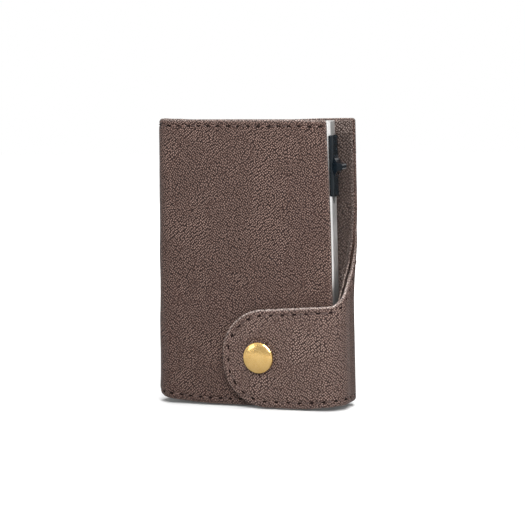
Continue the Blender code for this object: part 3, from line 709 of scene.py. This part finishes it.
def leatherSlab(name, grid, offset, thickness, lift, innerLift=None, split=None):
    # A closed slab: grid is rows of (t, z), bottom row first, t growing along a row.
    # Its open sides get a rounded rim and its split side a flat end.
    noteFlatCut(grid, thickness)
    rows, columns = len(grid), len(grid[0])
    normals = [[skinNormal(t, z) for t, z in row] for row in grid]
    base = [[skin(t, z) - normals[i][j] * offset for j, (t, z) in enumerate(row)] for i, row in enumerate(grid)]
    lifts = [[lift(t, z) for t, z in row] for row in grid]
    sinks = [[innerLift(t, z) if innerLift else 0.0 for t, z in row] for row in grid]
    wearAndHighlights = [[edgeWearAndTopHighlight(t, z) for t, z in row] for row in grid]
    vertices, wearAndHighlightValues, flats, faces = [], [], [], []

    def addVertex(spot, wearAndHighlight, flat):
        vertices.append(spot)
        wearAndHighlightValues.append(wearAndHighlight)
        flats.append(flat)
        return len(vertices) - 1

    cells = [(i, j) for i in range(rows) for j in range(columns)]
    outer = {(i, j): addVertex(base[i][j] + normals[i][j] * lifts[i][j], wearAndHighlights[i][j], grid[i][j])
             for i, j in cells}
    inner = {(i, j): addVertex(base[i][j] - normals[i][j] * (thickness + sinks[i][j]), wearAndHighlights[i][j], grid[i][j])
             for i, j in cells}
    for i, j in cells:
        if i < rows - 1 and j < columns - 1:
            corners = ((i, j), (i + 1, j), (i + 1, j + 1), (i, j + 1))
            faces.append([outer[corner] for corner in corners])
            faces.append([inner[corner] for corner in reversed(corners)])

    walk = ([(0, j) for j in range(columns)] + [(i, columns - 1) for i in range(1, rows)]
            + [(rows - 1, j) for j in range(columns - 2, -1, -1)] + [(i, 0) for i in range(rows - 2, 0, -1)])

    def openSides(i, j):
        sides = {"bottom": i == 0, "top": i == rows - 1, "left": j == 0, "right": j == columns - 1}
        return {side for side, touched in sides.items() if touched and side != split}

    rimSteps = 6
    loops = []
    for number, (i, j) in enumerate(walk):
        here, normal, sides = base[i][j], normals[i][j], openSides(i, j)
        t, z = grid[i][j]
        outward = Vector((0.0, 0.0, 0.0))
        if sides:
            behind, ahead = [base[besideI][besideJ] if openSides(besideI, besideJ) & sides else here
                             for besideI, besideJ in (walk[number - 1], walk[(number + 1) % len(walk)])]
            outward = (ahead - behind).normalized().cross(normal).normalized()
            inside = base[min(max(i, 1), rows - 2)][min(max(j, 1), columns - 2)]
            if outward.dot(here - inside) < 0.0:
                outward = -outward
        tangent = Vector((0.0, 0.0, 1.0)).cross(normal).normalized()
        outT = outward.dot(tangent)
        if (skin(t + 0.05, z) - skin(t, z)).dot(tangent) < 0.0:
            outT = -outT
        loop = [outer[i, j]]
        for step in range(1, rimSteps):
            angle = math.pi * step / rimSteps
            keep = (1.0 + math.cos(angle)) / 2
            level = thickness / 2 * (math.cos(angle) - 1.0) + lifts[i][j] * keep - sinks[i][j] * (1.0 - keep)
            # rim loops: the same light rubbing, plus a painted highlight where the rim faces up
            wearAndHighlight = 0.1 + topHighlightStrength(t) * max(outward.z, 0.0) if sides else wearAndHighlights[i][j]
            reach = thickness / 2 * angle
            loop.append(addVertex(here + normal * level + outward * (thickness / 2 * math.sin(angle)), wearAndHighlight,
                                  (t + outT * reach, z + outward.z * reach)))
        loops.append(loop + [inner[i, j]])
    for first, second in zip(loops, loops[1:] + loops[:1]):
        for step in range(rimSteps):
            faces.append([first[step], first[step + 1], second[step + 1], second[step]])

    mesh = bpy.data.meshes.new(name)
    mesh.from_pydata([tuple(vertex * mm) for vertex in vertices], [], faces)
    mesh.attributes.new("edgeWearAndTopHighlight", "FLOAT", "POINT").data.foreach_set("value", wearAndHighlightValues)
    flatCut = mesh.uv_layers.new(name="flatCut")
    for corner in mesh.loops:
        t, z = flats[corner.vertex_index]
        flatCut.data[corner.index].uv = (t * mm, z * mm)
    mesh.validate()
    turnOutwards(mesh)
    return newObject(name, mesh)


def turnOutwards(mesh):
    shape = bmesh.new()
    shape.from_mesh(mesh)
    if shape.calc_volume(signed=True) < 0.0:
        bmesh.ops.reverse_faces(shape, faces=shape.faces)
    shape.to_mesh(mesh)
    shape.free()


def finishMesh(thing, material):
    thing.data.materials.clear()
    thing.data.materials.append(material)
    thing.data.shade_smooth()
    thing.data.set_sharp_from_angle(angle=math.radians(42.0))


def applyModifiers(thing):
    graph = bpy.context.evaluated_depsgraph_get()
    ready = bpy.data.meshes.new_from_object(thing.evaluated_get(graph))
    thing.modifiers.clear()
    thing.data = ready


def cutHole(thing, radius, yFrom, yTo):
    # a round hole through the leather, along the snap's axis
    shape = bmesh.new()
    middle = Vector((capX, (yFrom + yTo) / 2, capZ)) * mm
    place = Matrix.Translation(middle) @ Matrix.Rotation(math.pi / 2, 4, "X")
    bmesh.ops.create_cone(shape, cap_ends=True, segments=64, radius1=radius * mm, radius2=radius * mm,
                          depth=(yTo - yFrom) * mm, matrix=place)
    mesh = bpy.data.meshes.new("punch")
    shape.to_mesh(mesh)
    shape.free()
    punch = newObject("punch", mesh)
    modifier = thing.modifiers.new("hole", "BOOLEAN")
    modifier.object = punch
    modifier.operation = "DIFFERENCE"
    modifier.solver = "EXACT"
    applyModifiers(thing)
    bpy.data.objects.remove(punch, do_unlink=True)


def heightRows(low, high):
    # rows from bottom to top, closer at the ends and through the neck
    neckLow = wrap["strapTop"] - 0.6
    neck = graded(neckLow, neckZ, 0.7, 0.4, 12.0)
    return graded(low, neckLow, 1.25, 0.28, 5.0, 2.0) + neck[1:] + graded(neckZ, high, 1.25, 0.28, 0.0, 5.0)[1:]


def frontEdge(z, inset, low, high):
    # rounded corners at the front panel's free edge
    radius = wrap["corner"] - min(inset, 0.8)
    over = max(low + radius - z, z - (high - radius), 0.0)
    lean = wrap["frontLean"] * rise(z, 60.0, 100.0)
    return frontEndT + lean + inset + radius - math.sqrt(max(radius * radius - over * over, 0.0))


def wrapGrid(inset):
    # front, spine and cover as one grid, up to the split on the cover
    low, high = inset, wrap["height"] - inset
    start = frontEndT + inset
    columns = (graded(0.0, frontLength - inset, 1.1, 0.3, 4.5, 0.0)
               + [frontLength - inset + step for step in graded(0.0, wrap["spineLength"], 0.7)[1:]])
    columns += graded(columns[-1], splitBackT - start, 1.1)[1:]
    grid = []
    for z in heightRows(low, high):
        shift = frontEdge(z, inset, low, high) - start
        grid.append([(start + column + shift * max(1.0 - column / 6.0, 0.0), z) for column in columns])
    return grid


def cornerGrid(inset):
    # the cover's right part, the back corner and half of the side
    shares = graded(0.0, 1.0, 0.055, 0.021, 0.0, 0.3)
    grid = []
    for z in heightRows(inset, wrap["height"] - inset):
        end = splitSideT
        if z > strapTopZ(splitSideT, inset):
            end = min(coverEdge(z, inset), splitSideT)
        grid.append([(splitBackT + (end - splitBackT) * share, z) for share in shares])
    return grid


def tabGrid(inset):
    # the other half of the side, the front corner and the tab with its round end
    radius = wrap["tipRadius"] - inset
    centreX = wrap["tipX"] + wrap["tipRadius"]
    tipLength = tAtTab(wrap["tipX"] + inset) - splitSideT
    shares = [spot / tipLength for spot in graded(0.0, tipLength, 0.8, 0.28, 0.0, 4.8)]
    rowCount = 96
    middle = wrap["tipTop"] / 2
    straight = middle - wrap["tipRadius"]
    grid = []
    for number in range(rowCount + 1):
        angle = math.radians(-90.0 + 180.0 * number / rowCount)
        # even the rows out away from the round end's own spacing
        spread = math.copysign(min(abs(math.sin(angle)) * 3.0, 1.0), angle)
        ratio = (middle + straight * spread + radius * math.sin(angle) - inset) / (wrap["tipTop"] - 2 * inset)
        length = tAtTab(centreX - radius * math.cos(angle)) - splitSideT
        row = [splitSideT + length * share for share in shares]
        grid.append([(t, inset + ratio * (strapTopZ(t, inset) - inset)) for t in row])
    return grid


outerPly = 1.2
liningPly = 0.6
pocketPly = 0.6
plyGap = 0.3
liningInset = 0.8
liningOffset = outerPly + plyGap
pocketOffset = liningOffset + liningPly + plyGap

pocket = {
    "left": -25.0,
    "rightLow": 29.0,
    "rightHigh": 33.8,
    "neck": (34.0, 64.0),
    "bottom": 2.0,
    "top": 95.2,
}


def plyGape(t, z):
    # the lining stands off a little where the cover turns into the strap
    along = rise(t, coverEdgeT - 9.0, coverEdgeT + 2.0) * (1.0 - rise(t, 14.0, 18.0))
    return 0.75 * along * bell(z, 46.0, 15.0)


def plainLift(t, z):
    point = skin(t, z)
    return 0.03 * wander(point.x, point.y + 30.0, z, 6.0) - plyGape(t, z)


def liningSink(t, z):
    # the lining's inner face, drawn in along the same seam
    point = skin(t, z)
    dent = 0.14 * bell(seamDistance(t, z), relief["seamInset"], relief["channelWidth"]) * stitched(t)
    return plyGape(t, z) + 0.05 * wander(point.x, point.y - 30.0, z, 9.0) - dent


def pocketSink(t, z):
    return 0.10 * wander(t, 3.0, z, 14.0)


def pocketGrid():
    half = pocketPly / 2
    start = pocket["left"] + half - spineX - coverLength
    count = 54
    grid = []
    for z in graded(pocket["bottom"] + half, pocket["top"] - half, 1.4, 0.4, 2.0, 2.0):
        right = pocket["rightLow"] + (pocket["rightHigh"] - pocket["rightLow"]) * rise(z, *pocket["neck"])
        end = right - half - bendX
        grid.append([(start + (end - start) * step / count, z) for step in range(count + 1)])
    return grid


outerEdge = outerPly / 2
outerFaces = (0.0, outerPly, outerRelief)
outerWrap = leatherSlab("outer_leather_wrap", wrapGrid(outerEdge), *outerFaces, split="right")
outerCorner = leatherSlab("outer_leather_corner", cornerGrid(outerEdge), *outerFaces, split="left")
outerTab = leatherSlab("outer_leather_tab", tabGrid(outerEdge), *outerFaces, split="left")
print("outer leather made")

liningEdge = liningInset + liningPly / 2
liningFaces = (liningOffset, liningPly, plainLift, liningSink)
liningWrap = leatherSlab("lining_wrap", wrapGrid(liningEdge), *liningFaces, split="right")
liningCorner = leatherSlab("lining_corner", cornerGrid(liningEdge), *liningFaces, split="left")
liningTab = leatherSlab("lining_tab", tabGrid(liningEdge), *liningFaces, split="left")
innerPocket = leatherSlab("pocket_leather", pocketGrid(), pocketOffset, pocketPly, plainLift, pocketSink)
print("linings and pocket made")

socketLow, socketHigh = boxOf("snap_socket")
flangeLow, flangeHigh = boxOf("snap_post")
stemRadius = 3.3
pinRadius = 1.3
behindTab = wrap["tabY"] + outerPly + 0.15
behindFront = wrap["frontY"] + outerPly + 0.15
cutHole(outerTab, stemRadius + plyGap, wrap["tabY"] - 1.0, behindTab)
cutHole(liningTab, (socketHigh.x - socketLow.x) / 2 + plyGap, behindTab, wrap["frontY"] - 0.2)
cutHole(outerWrap, pinRadius + plyGap, wrap["frontY"] - 1.0, behindFront)
cutHole(liningWrap, (flangeHigh.x - flangeLow.x) / 2 + plyGap, behindFront, behindFront + 1.05)
print("snap holes cut")


def turnIn(piece):
    # above the pocket and along its side the outer leather is turned in over the lining
    piece.data.materials.append(turnedLeather)
    cut = piece.data.uv_layers["flatCut"].data
    for face in piece.data.polygons:
        t, z = cut[face.loop_start].uv / mm
        if z > pocket["top"] - 1.0 or (t > coverEdgeT - 5.0 and z > 38.0):
            face.material_index = 1


# Each piece's leather, slot and the solids that it stands for
for piece, material, slot, *nodes in (
        (outerWrap, outerLeather, "leather", "front_panel", "back_panel"),
        (outerCorner, outerLeather, "leather", "strap_side"),
        (outerTab, strapLeather, "leather", "strap_front"),
        (liningWrap, liningLeather, "lining", "front_lining", "back_lining"),
        (liningCorner, liningLeather, "lining", "strap_side_lining"),
        (liningTab, liningLeather, "lining", "strap_front_lining"),
        (innerPocket, liningLeather, "leather", "inner_pocket")):
    finishMesh(piece, material)
    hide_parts(*nodes)
turnIn(liningWrap)
turnIn(liningCorner)


# What goes with what: each piece's placement is baked into its mesh and the pocket is attached to the cover; no
# bend at the spine or at the strap's corners is set up here

def bendSpine(piece):
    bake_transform(piece)


def bendBackCorner(piece):
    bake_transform(piece)


def bendFrontCorner(piece):
    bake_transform(piece)


bendSpine(outerWrap)
bendSpine(liningWrap)
bendBackCorner(outerCorner)
bendBackCorner(liningCorner)
bendFrontCorner(outerTab)
bendFrontCorner(liningTab)
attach(innerPocket, "cover")


# Stitches, one row of them for each curve that is drawn on the leather

stitch = {
    "pitch": 4.35,          # on the strap
    "panelPitch": 3.75,     # on the front and the cover
    "shown": 0.60,          # share of the pitch that shows as thread
    "sizes": {"Thread Radius": 0.27, "Dip": 0.32, "Arch": 0.16,
              "Hole Length": 1.65, "Hole Width": 0.90, "Hole Depth": 0.34},
    "seed": 4,
}


def stitchTree():
    tree = bpy.data.node_groups.new("stitchRow", "GeometryNodeTree")
    sizes = [(label, "Float") for label in ("Pitch", "Length", *stitch["sizes"])]
    for label, kind in (("Geometry", "Geometry"), *sizes, ("Seed", "Int")):
        tree.interface.new_socket(label, in_out="INPUT", socket_type="NodeSocket" + kind)
    tree.interface.new_socket("Geometry", in_out="OUTPUT", socket_type="NodeSocketGeometry")
    enter = addNode(tree, "NodeGroupInput").outputs

    def spot(**axes):
        return addNode(tree, "ShaderNodeCombineXYZ", axes).outputs[0]

    curve = addNode(tree, "GeometryNodeMeshToCurve", {"Mesh": enter["Geometry"]}).outputs[0]
    spaced = addNode(tree, "GeometryNodeResampleCurve",
                     {"Curve": curve, "Length": product(tree, enter["Pitch"], 0.5)}, mode="LENGTH").outputs[0]
    odd = mathNode(tree, "MODULO", addNode(tree, "GeometryNodeInputIndex").outputs[0], 2.0)
    even = mathNode(tree, "SUBTRACT", 1.0, odd)
    up = addNode(tree, "GeometryNodeInputNamedAttribute", {"Name": "up"}, data_type="FLOAT_VECTOR")
    tangent = addNode(tree, "GeometryNodeInputTangent").outputs[0]
    turn = addNode(tree, "FunctionNodeAxesToRotation",
                   {"Primary Axis": up.outputs["Attribute"], "Secondary Axis": tangent},
                   primary_axis="Z", secondary_axis="X").outputs[0]
    jitter = addNode(tree, "FunctionNodeRandomValue", {"Min": 0.9, "Max": 1.08, "Seed": enter["Seed"]},
                     data_type="FLOAT")
    randomSize = [socket for socket in jitter.outputs if socket.enabled][0]

    # the thread: a short arch whose ends sink into the leather
    reach = product(tree, product(tree, enter["Pitch"], enter["Length"]), 0.5)
    sunk = product(tree, enter["Dip"], -1.0)
    crest = mathNode(tree, "ADD", product(tree, enter["Arch"], 2.0), enter["Dip"])
    arch = addNode(tree, "GeometryNodeCurveQuadraticBezier",
                   {"Resolution": 5, "Start": spot(X=product(tree, reach, -1.0), Z=sunk),
                    "Middle": spot(Z=crest), "End": spot(X=reach, Z=sunk)})
    ring = addNode(tree, "GeometryNodeCurvePrimitiveCircle",
                   {"Resolution": 6, "Radius": enter["Thread Radius"]})
    thread = addNode(tree, "GeometryNodeCurveToMesh",
                     {"Curve": arch.outputs[0], "Profile Curve": ring.outputs[0], "Fill Caps": True})

    # the needle's dent between two stitches, a small dark piece whose colour is painted shade for the hole
    ball = addNode(tree, "GeometryNodeMeshUVSphere", {"Segments": 8, "Rings": 5, "Radius": 0.5})
    size = spot(X=enter["Hole Length"], Y=enter["Hole Width"], Z=enter["Hole Depth"])
    dent = addNode(tree, "GeometryNodeTransform", {"Geometry": ball.outputs[0], "Scale": size})

    rows = addNode(tree, "GeometryNodeJoinGeometry")
    for shape, material, chosen in ((thread, waxedThread, odd), (dent, needleHoleShade, even)):
        inputs = {"Geometry": shape.outputs[0], "Material": material}
        one = addNode(tree, "GeometryNodeSetMaterial", inputs).outputs[0]
        inputs = {"Points": spaced, "Selection": chosen, "Instance": one, "Rotation": turn, "Scale": randomSize}
        plug(rows.inputs[0], addNode(tree, "GeometryNodeInstanceOnPoints", inputs).outputs[0])
    solid = addNode(tree, "GeometryNodeRealizeInstances", {"Geometry": rows.outputs[0]}).outputs[0]
    smooth = addNode(tree, "GeometryNodeSetShadeSmooth", {"Geometry": solid}).outputs[0]
    addNode(tree, "NodeGroupOutput", {"Geometry": smooth})
    return tree


def rowMesh(name, paths, height):
    # the seam's own line on the leather, with the way that faces out of it
    vertices, edges, ups = [], [], []
    for path in paths:
        for number, (t, z) in enumerate(path):
            normal, lift = skinNormal(t, z), height(t, z)
            if number:
                edges.append((len(vertices) - 1, len(vertices)))
            vertices.append((skin(t, z) + normal * lift) * mm)
            ups.extend(normal if lift > -outerPly / 2 else -normal)
    mesh = bpy.data.meshes.new(name)
    mesh.from_pydata([tuple(vertex) for vertex in vertices], edges, [])
    mesh.attributes.new("up", "FLOAT_VECTOR", "POINT").data.foreach_set("vector", ups)
    return mesh


def makeStitches(name, paths, height, pitch):
    row = newObject(name, rowMesh(name + "Line", paths, height))
    modifier = row.modifiers.new("stitches", "NODES")
    modifier.node_group = stitchRows
    values = {"Pitch": pitch * mm, "Length": stitch["shown"], "Seed": stitch["seed"]}
    values.update({label: size * mm for label, size in stitch["sizes"].items()})
    for item in stitchRows.interface.items_tree:
        if item.in_out == "INPUT" and item.name in values:
            modifier[item.identifier] = values[item.name]
    applyModifiers(row)
    row.data.name = name
    return row


def alongT(start, end, z):
    count = max(int(abs(end - start) / 0.35), 2)
    return [(start + (end - start) * number / count, z) for number in range(count + 1)]


def arcPath(centreT, centreZ, radius, start, end, steps=40):
    angles = [math.radians(start + (end - start) * number / steps) for number in range(steps + 1)]
    return [(centreT + radius * math.cos(angle), centreZ + radius * math.sin(angle)) for angle in angles]


def wrapSeams(pitch, inset):
    # along the top and the bottom, from the front's right edge to the split on the cover
    return [alongT(frontEndT + 3.0, splitBackT - pitch / 2, z) for z in (wrap["height"] - inset, inset)]


def cornerSeams(pitch, inset):
    start = splitBackT + pitch / 2
    turnRadius = 1.2
    right, top = coverEdgeT - inset - turnRadius, wrap["height"] - inset
    bend = top - turnRadius
    low = strapTopZ(splitSideT - 0.2, inset)
    path = alongT(start, right, top) + arcPath(right, bend, turnRadius, 90.0, 0.0, 6)[1:]
    count = 120
    heights = [bend + (low - bend) * number / count for number in range(1, count + 1)]
    return [path + [(coverEdge(z, inset), z) for z in heights], alongT(start, splitSideT, inset)]


def tabSeams(inset):
    tipT = tAtTab(wrap["tipX"] + wrap["tipRadius"])
    radius = wrap["tipRadius"] - inset
    path = [(t, strapTopZ(t, inset)) for t, z in alongT(splitSideT, tipT, 0.0)]
    path += arcPath(tipT, wrap["tipTop"] - wrap["tipRadius"], radius, 90.0, 0.0)[1:]
    path += arcPath(tipT, wrap["tipRadius"], radius, 0.0, -90.0)
    return [path + alongT(tipT, splitSideT, inset)[1:]]


def outerSeat(t, z):
    return outerRelief(t, z) + 0.03


def innerSeat(t, z):
    return -(liningOffset + liningPly + liningSink(t, z)) - 0.03


stitchRows = stitchTree()
seam, pitch, panelPitch = relief["seamInset"], stitch["pitch"], stitch["panelPitch"]
wrapStitches = makeStitches("stitches_wrap", wrapSeams(panelPitch, seam), outerSeat, panelPitch)
cornerStitches = makeStitches("stitches_corner", cornerSeams(panelPitch, seam), outerSeat, pitch)
tabStitches = makeStitches("stitches_tab", tabSeams(seam), outerSeat, pitch)
innerTabStitches = makeStitches("stitches_tab_lining", tabSeams(seam), innerSeat, pitch)
innerWrapStitches = makeStitches("stitches_wrap_lining", wrapSeams(panelPitch, seam), innerSeat, panelPitch)
bendSpine(wrapStitches)
bendSpine(innerWrapStitches)
bendBackCorner(cornerStitches)
bendFrontCorner(tabStitches)
bendFrontCorner(innerTabStitches)
print("stitches made")


# The felt pad and the foam tape

def softBlock(name, node, material, corner, edge, fuzz):
    low, high = boxOf(node)
    shape = bmesh.new()
    bmesh.ops.create_cube(shape, size=1.0)
    bmesh.ops.scale(shape, vec=high - low, verts=shape.verts)
    bmesh.ops.translate(shape, vec=(low + high) / 2, verts=shape.verts)
    for offset, segments, across in ((corner, 5, True), (edge, 2, False)):
        edges = [e for e in shape.edges if (abs(e.verts[0].co.y - e.verts[1].co.y) > 0.01) == across]
        bmesh.ops.bevel(shape, geom=edges, offset=offset, segments=segments, affect="EDGES", profile=0.5)
    bmesh.ops.triangulate(shape, faces=shape.faces)
    bmesh.ops.subdivide_edges(shape, edges=[e for e in shape.edges if e.calc_length() > 3.0], cuts=5,
                              use_grid_fill=True)
    for vertex in shape.verts:
        vertex.co.y += fuzz * wander(vertex.co.x, 1.0, vertex.co.z, 4.0)
    bmesh.ops.scale(shape, vec=(mm, mm, mm), verts=shape.verts)
    mesh = bpy.data.meshes.new(name)
    shape.to_mesh(mesh)
    shape.free()
    turnOutwards(mesh)
    thing = newObject(name, mesh)
    finishMesh(thing, material)
    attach(thing, "case_and_front")
    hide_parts(node)


softBlock("felt_grip_pad", "card_grip_pad", feltMaterial(), 2.0, 0.15, 0.04)
softBlock("foam_tape", "case_tape", foamTapeMaterial(), 1.5, 0.06, 0.01)
print("pad and tape made")


# The CAD pieces' finishes

finishes = (
    (aluminiumMaterial(), "case_shell"),
    (brassMaterial(), "snap_cap", "snap_socket", "snap_stud"),
    (steelMaterial(), "snap_post"),
    (glossPlasticMaterial(), "slider_button"),
    (mattPlasticMaterial(), "case_base", "slider_carriage", "ejector"),
)
for material, *nodes in finishes:
    for node in nodes:
        for slot in bpy.data.objects[node].material_slots:
            slot.material = material


# Light and backdrop

studio = {
    "soft": (0.31, 0.27),       # the even light from all round, on the left and on the right
    "front": 0.60,              # low in front the room shows a little dimmer in metal than the white behind
    "floor": 0.74,
    "floorInMetal": 0.38,
    "nearGlow": 0.07,           # lightens the shadow under the lifted corner
    "farGlow": 0.9,             # keeps the far floor as white as the room
    "flagBearings": (138.0, 202.0),
    "flagDistance": 0.30,
    "flagTop": 0.125,
    "flag": 0.05,
}


def makeLight(name, place, aim, size, power):
    data = bpy.data.lights.new(name, "AREA")
    data.size = size
    data.energy = power
    lamp = newObject(name, data)
    lamp.location = place
    lamp.rotation_euler = (Vector(aim) - Vector(place)).to_track_quat("-Z", "Y").to_euler()


def seenDirectly(tree):
    # 1 for what the camera sees, and for what metal and glass show
    path = addNode(tree, "ShaderNodeLightPath").outputs
    seen = mathNode(tree, "MAXIMUM", path["Is Camera Ray"], path["Is Glossy Ray"])
    return path, mathNode(tree, "MAXIMUM", seen, path["Is Transmission Ray"])


def makeWorld():
    world = bpy.data.worlds.new("studio")
    bpy.context.scene.world = world
    world.use_nodes = True
    tree = world.node_tree
    tree.nodes.clear()
    path, seen = seenDirectly(tree)
    where = addNode(tree, "ShaderNodeTexCoord").outputs["Generated"]
    axes = addNode(tree, "ShaderNodeSeparateXYZ", {0: where}).outputs
    ahead = mathNode(tree, "ADD", axes["Y"], product(tree, axes["Z"], 1.2))
    room = mapRange(tree, ahead, -0.6, 0.2, studio["front"], 1.0)
    room = mathNode(tree, "MAXIMUM", path["Is Camera Ray"], room)
    soft = mapRange(tree, axes["X"], -0.8, 0.8, *studio["soft"])
    lights = [addNode(tree, "ShaderNodeBackground", {"Color": (1.0, 1.0, 1.0), "Strength": level}).outputs[0]
              for level in (soft, room)]
    mix = addNode(tree, "ShaderNodeMixShader", {0: seen, 1: lights[0], 2: lights[1]})
    addNode(tree, "ShaderNodeOutputWorld", {0: mix.outputs[0]})


def stageSheet(name, corners, material):
    mesh = bpy.data.meshes.new(name)
    mesh.from_pydata(corners, [], [(0, 1, 2, 3)])
    mesh.materials.append(material)
    sheet = newObject(name, mesh)
    return sheet


def makeFloor():
    material, tree, vector = newMaterial("paperFloor")
    tree.nodes.remove(tree.nodes["Principled BSDF"])
    path, seen = seenDirectly(tree)
    inMetal = path["Is Glossy Ray"]
    away = addNode(tree, "ShaderNodeVectorMath", {0: vector}, operation="LENGTH").outputs["Value"]
    glow = mapRange(tree, away, 0.05, 0.35, studio["nearGlow"], studio["farGlow"], smooth=True)
    glow = product(tree, glow, mapRange(tree, inMetal, 0.0, 1.0, 1.0, 0.7))
    shade = mixColour(tree, inMetal, (studio["floor"],) * 3, (studio["floorInMetal"],) * 3)
    paper = addNode(tree, "ShaderNodeBsdfDiffuse", {"Color": shade})
    light = addNode(tree, "ShaderNodeEmission", {"Strength": product(tree, seen, glow)})
    both = addNode(tree, "ShaderNodeAddShader", {0: paper.outputs[0], 1: light.outputs[0]})
    plug(tree.nodes["Material Output"].inputs["Surface"], both.outputs[0])
    corners = [(x * 1.5, y * 1.5, 0.0) for x, y in ((-1, -1), (1, -1), (1, 1), (-1, 1))]
    stageSheet("floor", corners, material).location.z = -0.0005


def makeFlag():
    # a black card behind the open side, seen only in the metal and the polished plastic
    material, tree, vector = newMaterial("blackCard")
    level = mapRange(tree, noiseNode(tree, vector, 8.0), 0.3, 0.7, studio["flag"] * 0.8, studio["flag"] * 1.2)
    finish(material, {"Base Color": level, "Roughness": 0.9})
    first, second = [math.radians(bearing) for bearing in studio["flagBearings"]]
    corners = []
    for angle, height in ((first, 0.0), (second, 0.0), (second, studio["flagTop"]), (first, studio["flagTop"])):
        reach = studio["flagDistance"]
        corners.append((reach * math.sin(angle), -reach * math.cos(angle), height))
    flag = stageSheet("flag", corners, material)
    for rays in ("visible_camera", "visible_diffuse", "visible_shadow", "visible_transmission"):
        setattr(flag, rays, False)


makeWorld()
makeFloor()
makeFlag()
makeLight("key", (-0.70, -0.90, 0.36), (0.0, 0.0, 0.03), 0.34, 1.5)
makeLight("fill", (0.17, -0.27, 0.27), (0.0, 0.0, 0.08), 0.22, 2.3)
makeLight("top", (0.0, 0.15, 0.9), (0.0, 0.0, 0.05), 0.5, 8.0)
bpy.context.scene.view_settings.view_transform = "Standard"
